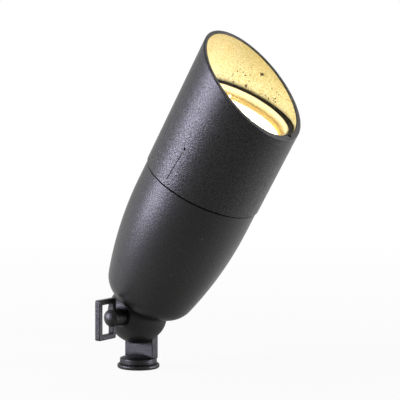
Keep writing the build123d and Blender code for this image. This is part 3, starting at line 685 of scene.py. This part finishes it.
def thread_tree():
    """Right-handed ridge on a helix, with an optional core and a bevelled tip."""
    labels = ["Radius", "Ridge", "Pitch", "Length", "Facing", "Core", "Bevel"]
    tree, given = make_tree("Helical Thread", labels)
    turns = add(tree, MATH, {0: given["Length"], 1: given["Pitch"]}, operation="DIVIDE")
    helix = add(
        tree, "GeometryNodeCurveSpiral",
        {"Resolution": TURN_STEPS, "Rotations": turns, "Start Radius": given["Radius"],
         "End Radius": given["Radius"], "Height": given["Length"], "Reverse": True}
    )
    helix = add(tree, "GeometryNodeSetCurveNormal", {"Curve": helix}, mode="Z_UP")
    outline = {"Resolution": RIDGE_SIDES, "Radius": given["Ridge"]}
    profile = add(tree, "GeometryNodeCurvePrimitiveCircle", outline)
    facing = add(tree, COMBINE, {"Z": given["Facing"]})
    facing = add(tree, "FunctionNodeEulerToRotation", {"Euler": facing})
    profile = add(tree, "GeometryNodeTransform", {"Geometry": profile, "Rotation": facing})
    swept = {"Curve": helix, "Profile Curve": profile, "Fill Caps": True}
    ridge = add(tree, "GeometryNodeCurveToMesh", swept)
    middle = add(tree, MATH, {0: given["Length"], 1: 0.5}, operation="MULTIPLY")
    middle = add(tree, COMBINE, {"Z": middle})
    rod = {"Vertices": TURN_STEPS, "Radius": given["Core"], "Depth": given["Length"]}
    core = add(tree, "GeometryNodeMeshCylinder", rod)
    core = add(tree, "GeometryNodeTransform", {"Geometry": core, "Translation": middle})
    narrow = add(tree, MATH, {0: given["Core"], 1: given["Bevel"]}, operation="SUBTRACT")
    cone = {"Vertices": TURN_STEPS, "Radius Top": given["Core"], "Radius Bottom": narrow}
    tip = add(tree, "GeometryNodeMeshCone", {**cone, "Depth": given["Bevel"]})
    drop = add(tree, MATH, {0: 0.0, 1: given["Bevel"]}, operation="SUBTRACT")
    drop = add(tree, COMBINE, {"Z": drop})
    tip = add(tree, "GeometryNodeTransform", {"Geometry": tip, "Translation": drop})
    join = add(tree, "GeometryNodeJoinGeometry")
    for shape in (ridge, core, tip):
        tree.links.new(shape.outputs[0], join.inputs["Geometry"])
    close_tree(tree, given, join)
    return tree


class SPOTLIGHT_OT_thumbscrew(bpy.types.Operator):
    """Thread the thumbscrew's stud and finish its washer"""

    bl_idname = "spotlight.thumbscrew"
    bl_label = "Thumbscrew"

    def execute(self, context):
        sizes, _, _ = settings()
        # Turned stainless steel: bright, with fine lathe grain
        steel = plain_finish(
            "turned_stainless_steel", "#a9a8a4", grain=0.5, relief=0.01, rough=0.32, metal=1.0
        )
        # Blackened spring steel: dark, thin oxide with a soft shine
        black = plain_finish("blackened_steel", "#2b2b2d", grain=0.7, relief=0.01, rough=0.42, metal=0.8)
        low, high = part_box("thumbscrew_stud")
        core = sizes.stud_radius - sizes.thread_ridge
        bevel = sizes.thread_ridge
        stud = grow("stud_thread", thread_tree(), {
            "Radius": core,
            "Ridge": sizes.thread_ridge,
            "Pitch": sizes.thread_pitch,
            "Length": high.y - low.y - bevel,
            "Facing": 0.0,
            "Core": core,
            "Bevel": bevel,
            "Place": (PIVOT.x, high.y - bevel, PIVOT.z),
            "Turn": (math.radians(90), 0, 0),
            "Material": steel,
        })
        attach(stud, "thumbscrew")
        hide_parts("thumbscrew_stud")
        dress("thumbscrew_washer", black)
        return {"FINISHED"}


class SPOTLIGHT_OT_stem_thread(bpy.types.Operator):
    """Cut the tapped hole's thread in the foot"""

    bl_idname = "spotlight.stem_thread"
    bl_label = "Stem thread"

    def execute(self, context):
        sizes, _, _ = settings()
        hole = next(mount for mount in frame["record"]["mounts"] if mount["name"] == "stem_thread")
        depth = hole["dims"]["length_mm"] * MM
        # Tapped aluminium: bare metal where the tap cut through the coat
        bare = plain_finish("tapped_aluminium", "#8f9092", grain=0.4, relief=0.01, rough=0.38, metal=1.0)
        ridge = grow("stem_thread_ridge", bpy.data.node_groups["Helical Thread"], {
            "Radius": sizes.stem_radius,
            "Ridge": sizes.thread_ridge,
            "Pitch": sizes.thread_pitch,
            "Length": depth - 2 * sizes.thread_ridge,
            "Facing": math.pi,
            "Core": 0.0,
            "Bevel": 0.0,
            "Place": (0, 0, sizes.thread_ridge),
            "Turn": (0, 0, 0),
            "Material": bare,
        })
        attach(ridge, "base")
        return {"FINISHED"}


def facet_tree():
    """Bowl of flat facets: one bowed side swept round a ring of straight sides."""
    tree, given = make_tree("Faceted Bowl", ["Radius", "Depth", "Neck", "Rows", "Round"])
    outline = {"Resolution": given["Round"], "Radius": given["Radius"]}
    ring = add(tree, "GeometryNodeCurvePrimitiveCircle", outline)
    ring = add(tree, "GeometryNodeSetCurveNormal", {"Curve": ring}, mode="Z_UP")
    inward = add(tree, MATH, {0: given["Neck"], 1: given["Radius"]}, operation="SUBTRACT")
    neck = add(tree, COMBINE, {"X": inward, "Y": given["Depth"]})
    pull = add(tree, MATH, {0: given["Radius"], 1: BOWL_FULLNESS - 1}, operation="MULTIPLY")
    low_pull = add(tree, COMBINE, {"X": pull, "Y": given["Depth"]})
    rise = add(tree, MATH, {0: given["Depth"], 1: BOWL_FULLNESS}, operation="MULTIPLY")
    high_pull = add(tree, COMBINE, {"Y": rise})
    side = add(
        tree, "GeometryNodeCurvePrimitiveBezierSegment",
        {"Resolution": given["Rows"], "Start": neck, "Start Handle": low_pull,
         "End Handle": high_pull, "End": (0, 0, 0)}
    )
    bowl = add(tree, "GeometryNodeCurveToMesh", {"Curve": ring, "Profile Curve": side})
    close_tree(tree, given, bowl)
    return tree


def lit_mirror(name, strength):
    """Vapour-coated mirror of the lit lamp: white-hot to the eye, golden and dim along its edge."""
    sizes, colours, _ = settings()
    material, tree = empty_material(name)
    height = add(tree, SEPARATE, {"Vector": upright(tree)}).outputs["Z"]
    mouth = sizes.lamp_rim - sizes.facet_mouth
    edge = add(
        tree, MAP_RANGE,
        {"Value": height, "From Min": mouth - sizes.edge_bright, "From Max": mouth - sizes.edge_dim}
    )
    tone = add(tree, MIX, {"Factor": edge, "A": colours.glow, "B": colours.ledge}, data_type="RGBA")
    bright = add(tree, MAP_RANGE, {"Value": edge, "To Min": strength, "To Max": EDGE_GLOW})
    surface(tree, {
        "Base Color": tone, "Roughness": MIRROR_ROUGHNESS, "Metallic": 1.0,
        "Emission Color": tone, "Emission Strength": bright,
    })
    return material


def lamp_glass_finish():
    """Pressed glass: its rim carries the lamp's light, its cemented ledge is duller and browner, with a faint
    painted glow for the light that the bright bore throws on it.
    """
    sizes, colours, _ = settings()
    material, tree = empty_material("pressed_lamp_glass")
    where = upright(tree)
    radius = axis_distance(tree, where)
    height = add(tree, SEPARATE, {"Vector": where}).outputs["Z"]
    lowest = sizes.lamp_rim - sizes.rim_glow_depth
    top = add(tree, MATH, {0: height, 1: lowest}, operation="GREATER_THAN")
    rim = add(tree, MATH, {0: radius, 1: sizes.rim_radius}, operation="GREATER_THAN")
    stipple = add(tree, NOISE, {"Vector": where, "Scale": 1 / sizes.rim_stipple, "Detail": 2.0})
    tone = add(tree, MIX, {"Factor": rim, "A": colours.ledge, "B": colours.lamp_glass}, data_type="RGBA")
    # The ledge's faint glow is painted light from the bright bore; the rim's glow is the lamp's light in its glass
    glow = add(tree, MAP_RANGE, {"Value": rim, "To Min": LEDGE_GLOW, "To Max": RIM_GLOW})
    glow = add(tree, MATH, {0: glow, 1: top}, operation="MULTIPLY")
    normal = add(tree, BUMP, {"Height": stipple, "Distance": sizes.rim_stipple_relief})
    surface(tree, {
        "Base Color": tone, "Roughness": RIM_ROUGHNESS, "Normal": normal,
        "Emission Color": tone, "Emission Strength": glow,
    })
    return material


def cover_glass_finish():
    """Float glass disc: clear, with a faint film that the lamp's heat leaves."""
    sizes, colours, _ = settings()
    material, tree = empty_material("float_glass")
    film = add(tree, NOISE, {"Vector": upright(tree), "Scale": 1 / sizes.cover_film, "Detail": 2.0})
    clear, filmed = FILM_ROUGHNESS
    rough = add(tree, MAP_RANGE, {"Value": film, "To Min": clear, "To Max": filmed})
    surface(tree, {
        "Base Color": colours.cover_glass, "Roughness": rough,
        "Alpha": COVER_OPACITY, "IOR": COVER_IOR,
    })
    return material


class SPOTLIGHT_OT_lamp(bpy.types.Operator):
    """Light the lamp: facets, capsule, rim glass, base and pins"""

    bl_idname = "spotlight.lamp"
    bl_label = "Lamp"

    def execute(self, context):
        sizes, _, stage = settings()
        facets = grow("reflector_facets", facet_tree(), {
            "Radius": sizes.facet_radius,
            "Depth": sizes.facet_depth,
            "Neck": sizes.facet_neck,
            "Rows": float(sizes.facet_rows),
            "Round": float(sizes.facets_round),
            "Place": HEAD_FRAME @ Vector((0, 0, sizes.lamp_rim - sizes.facet_mouth)),
            "Turn": (0, HEAD_TILT, 0),
            "Material": lit_mirror("vapour_coated_mirror", stage.lamp_strength),
        })
        wall = facets.modifiers.new("wall", "SOLIDIFY")
        wall.thickness = sizes.facet_wall
        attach(facets, "head")
        # Fired steatite: chalky off-white
        steatite = plain_finish("lamp_steatite", "#d9d5c8", grain=1.0, relief=0.02, rough=0.75)
        # Nickel-plated pins: soft grey shine
        nickel = plain_finish("nickel_plate", "#b9b5ab", grain=0.5, relief=0.005, rough=0.28, metal=1.0)
        dress("lamp_reflector", lamp_glass_finish())
        dress("lamp_capsule", lit_mirror("lit_quartz", CAPSULE_GAIN * stage.lamp_strength))
        dress("lamp_cover_glass", cover_glass_finish())
        dress("lamp_base", steatite)
        dress("lamp_pins", nickel)
        return {"FINISHED"}


class SPOTLIGHT_OT_lamp_holder(bpy.types.Operator):
    """Finish the socket, its strap, screws, contacts and leads"""

    bl_idname = "spotlight.lamp_holder"
    bl_label = "Lamp holder"

    def execute(self, context):
        # Fired steatite: chalky off-white
        steatite = plain_finish("socket_steatite", "#dfddd3", grain=1.2, relief=0.03, rough=0.8)
        # Drawn brass: yellow, lightly tarnished
        brass = plain_finish("drawn_brass", "#b5914a", grain=0.6, relief=0.01, rough=0.35, metal=1.0)
        # Zinc-plated sheet steel: pale grey with a bluish cast
        strap = plain_finish("zinc_plated_strap", "#aab0b3", grain=2.5, relief=0.01, rough=0.38, metal=1.0)
        # Zinc-plated screws: nearly the same grey, with a little more shine
        screws = plain_finish(
            "zinc_plated_screws", "#a4a8a8", grain=0.8, relief=0.01, rough=0.34, metal=1.0
        )
        # Silicone sleeve over wire: dark and dull
        sleeve = plain_finish("silicone_sleeve", "#2a2a2a", grain=0.5, relief=0.03, rough=0.7)
        dress("lamp_socket", steatite)
        dress("socket_contacts", brass)
        dress("socket_bracket", strap)
        dress("bracket_screws", screws)
        dress("socket_screws", screws)
        dress("socket_leads", sleeve)
        return {"FINISHED"}


def look_at(spot, target, roll=0.0):
    """World matrix of a camera or light at a spot that looks at a target, turned about its view line."""
    back = (Vector(spot) - Vector(target)).normalized()
    right = Vector((0, 0, 1)).cross(back).normalized()
    up = back.cross(right)
    turned_right = right * math.cos(roll) + up * math.sin(roll)
    turned_up = up * math.cos(roll) - right * math.sin(roll)
    matrix = Matrix((turned_right, turned_up, back)).transposed().to_4x4()
    matrix.translation = Vector(spot)
    return matrix


def soft_light(name, target, azimuth, elevation, distance, size, power, code):
    """Rectangular soft light aimed at a target; azimuth 0 stands on -Y, and lengths are in metres."""
    lamp = bpy.data.lights.new(name, "AREA")
    lamp.shape = "RECTANGLE"
    lamp.size, lamp.size_y = size
    lamp.energy = power
    lamp.color = linear(code)
    light = new_object(name, lamp)
    turn = math.radians(azimuth)
    rise = math.radians(elevation)
    away = Vector((math.sin(turn) * math.cos(rise), -math.cos(turn) * math.cos(rise), math.sin(rise)))
    light.matrix_world = look_at(target + away * distance, target)
    return lamp


def level_direction(stage, turn):
    """Level direction from the camera to the object, turned to the right."""
    ahead = Vector(stage.camera_target) - Vector(stage.camera_place)
    ahead = Vector((ahead.x, ahead.y, 0)).normalized()
    return Matrix.Rotation(-turn, 3, "Z") @ ahead


def brighter(tree, point, direction, turn, dim):
    """Brightness that goes from dim to full along a direction, over the two distances of its turn."""
    depth = add(tree, VECTOR_MATH, {0: point, 1: direction}, operation="DOT_PRODUCT")
    start, end = turn
    return add(tree, MAP_RANGE, {"Value": depth, "From Min": start, "From Max": end, "To Min": dim})


def ray_kinds(tree):
    """Whether a ray comes from the camera or through glass, and whether gloss sends it."""
    path = add(tree, "ShaderNodeLightPath").outputs
    direct = {0: path["Is Camera Ray"], 1: path["Is Transmission Ray"]}
    return add(tree, MATH, direct, operation="MAXIMUM"), path["Is Glossy Ray"]


def white_room(stage):
    """World that is white to the camera and to glass, and darker in front of the object to gloss."""
    world = bpy.data.worlds.new("white_room")
    world.use_nodes = True
    tree = world.node_tree
    tree.nodes.clear()
    seen, glossy = ray_kinds(tree)
    ray = add(tree, "ShaderNodeTexCoord").outputs["Generated"]
    behind = level_direction(stage, stage.bright_side)
    gloss = brighter(tree, ray, behind, ROOM_TURN, stage.front_gloss)
    plain = add(tree, MIX, {"Factor": glossy, "A": stage.ambient, "B": gloss})
    strength = add(tree, MIX, {"Factor": seen, "A": plain, "B": 1.0})
    shader = add(tree, "ShaderNodeBackground", {"Color": WHITE, "Strength": strength})
    add(tree, "ShaderNodeOutputWorld", {"Surface": shader})
    bpy.context.scene.world = world


def floor_shine(tree, where, away, stage):
    """Brightness of the floor to gloss: dim in front of the object and in the shade of its foot."""
    behind = level_direction(stage, stage.floor_side)
    gloss = brighter(tree, where, behind, FLOOR_TURN, stage.floor_gloss)
    near, far = FOOT_SHADE
    clear = add(tree, MAP_RANGE, {"Value": away, "From Min": near, "From Max": far, "To Min": FOOT_GLOSS})
    return add(tree, MATH, {0: gloss, 1: clear}, operation="MULTIPLY")


def floor_paint(stage):
    """Matt floor paint: near white to the camera, with a soft shadow, and little light thrown back up."""
    _, colours, _ = settings()
    material, tree = empty_material("pale_floor")
    seen, glossy = ray_kinds(tree)
    where = add(tree, "ShaderNodeTexCoord").outputs["Object"]
    away = add(tree, VECTOR_MATH, {0: where}, operation="LENGTH")
    near, far = SHADOW_FADE
    span = {"Value": away, "From Min": near, "From Max": far, "To Min": stage.floor_white}
    share = add(tree, MAP_RANGE, span)
    share = add(tree, MATH, {0: seen, 1: share}, operation="MULTIPLY")
    share = add(tree, MATH, {0: share, 1: glossy}, operation="MAXIMUM")
    gloss = floor_shine(tree, where, away, stage)
    level = add(tree, MIX, {"Factor": glossy, "A": 1.0, "B": gloss})
    tone = add(tree, MIX, {"Factor": seen, "A": colours.floor, "B": WHITE}, data_type="RGBA")
    paint = add(tree, "ShaderNodeBsdfDiffuse", {"Color": tone})
    white = add(tree, "ShaderNodeEmission", {"Strength": level})
    mixed = add(tree, "ShaderNodeMixShader", {0: share, 1: paint, 2: white})
    add(tree, "ShaderNodeOutputMaterial", {"Surface": mixed})
    return material


def pale_floor(stage):
    """Wide flat floor just under the foot."""
    signs = ((-1, -1), (1, -1), (1, 1), (-1, 1))
    corners = [(x * FLOOR_HALF, y * FLOOR_HALF, -FLOOR_DROP) for x, y in signs]
    mesh = bpy.data.meshes.new("floor")
    mesh.from_pydata(corners, [], [(0, 1, 2, 3)])
    mesh.materials.append(floor_paint(stage))
    floor = new_object("floor", mesh)


def studio_lights(stage, mouth):
    """Wide light on the left, a weak one behind it, a strip on the right and one into the mouth."""
    middle = Vector(stage.camera_target)
    soft_light(
        "key", middle, azimuth=-40, elevation=10, distance=1.1,
        size=(0.68, 0.42), power=stage.key_power, code="#e9e4ff"
    )
    soft_light(
        "side", middle, azimuth=-85, elevation=9, distance=1.2,
        size=(0.6, 0.45), power=stage.side_power, code="#f8f6ff"
    )
    soft_light(
        "right", middle, azimuth=118, elevation=-2, distance=1.1,
        size=(0.6, 0.12), power=stage.right_power, code="#e9e4ff"
    )
    gridded = soft_light(
        "mouth", mouth, azimuth=100, elevation=40, distance=0.9,
        size=(0.05, 0.05), power=stage.mouth_power, code="#ffeccb"
    )
    gridded.spread = MOUTH_GRID


def photo_camera(stage):
    """Camera at the photograph's viewing angle."""
    lens = bpy.data.cameras.new("camera")
    lens.sensor_width = SENSOR_WIDTH
    lens.lens = stage.lens
    lens.clip_start = CLIP_NEAR
    lens.clip_end = CLIP_FAR
    camera = new_object("camera", lens)
    camera.matrix_world = look_at(stage.camera_place, stage.camera_target, stage.camera_roll)
    bpy.context.scene.camera = camera


class SPOTLIGHT_OT_stage(bpy.types.Operator):
    """Set up the floor, the room, the lights and the camera"""

    bl_idname = "spotlight.stage"
    bl_label = "Studio"

    def execute(self, context):
        sizes, _, stage = settings()
        context.scene.view_settings.view_transform = "Standard"
        pale_floor(stage)
        white_room(stage)
        studio_lights(stage, HEAD_FRAME @ Vector((0, 0, sizes.cut_height)))
        photo_camera(stage)
        return {"FINISHED"}


class SPOTLIGHT_PT_panel(bpy.types.Panel):
    """Lists the steps that dress the spotlight"""

    bl_idname = "SPOTLIGHT_PT_panel"
    bl_label = "Landscape Spotlight"
    bl_space_type = "VIEW_3D"
    bl_region_type = "UI"
    bl_category = "Spotlight"

    def draw(self, context):
        for step in STEPS:
            self.layout.operator(step.bl_idname)


STEPS = (
    SPOTLIGHT_OT_castings,
    SPOTLIGHT_OT_cowl,
    SPOTLIGHT_OT_seals,
    SPOTLIGHT_OT_thumbscrew,
    SPOTLIGHT_OT_stem_thread,
    SPOTLIGHT_OT_lamp,
    SPOTLIGHT_OT_lamp_holder,
    SPOTLIGHT_OT_stage,
)
GROUPS = {
    "spotlight_sizes": SpotlightSizes,
    "spotlight_colours": SpotlightColours,
    "spotlight_stage": SpotlightStage,
}
CLASSES = (*GROUPS.values(), *STEPS, SPOTLIGHT_PT_panel)


def register():
    for item in CLASSES:
        bpy.utils.register_class(item)
    for name, group in GROUPS.items():
        setattr(bpy.types.Scene, name, bpy.props.PointerProperty(type=group))


def unregister():
    for name in GROUPS:
        delattr(bpy.types.Scene, name)
    for item in reversed(CLASSES):
        bpy.utils.unregister_class(item)


def main():
    """Dress the spotlight step by step."""
    register()
    bpy.ops.spotlight.castings()
    bpy.ops.spotlight.cowl()
    bpy.ops.spotlight.seals()
    bpy.ops.spotlight.thumbscrew()
    bpy.ops.spotlight.stem_thread()
    bpy.ops.spotlight.lamp()
    bpy.ops.spotlight.lamp_holder()
    bpy.ops.spotlight.stage()


if __name__ == "__main__":
    main()
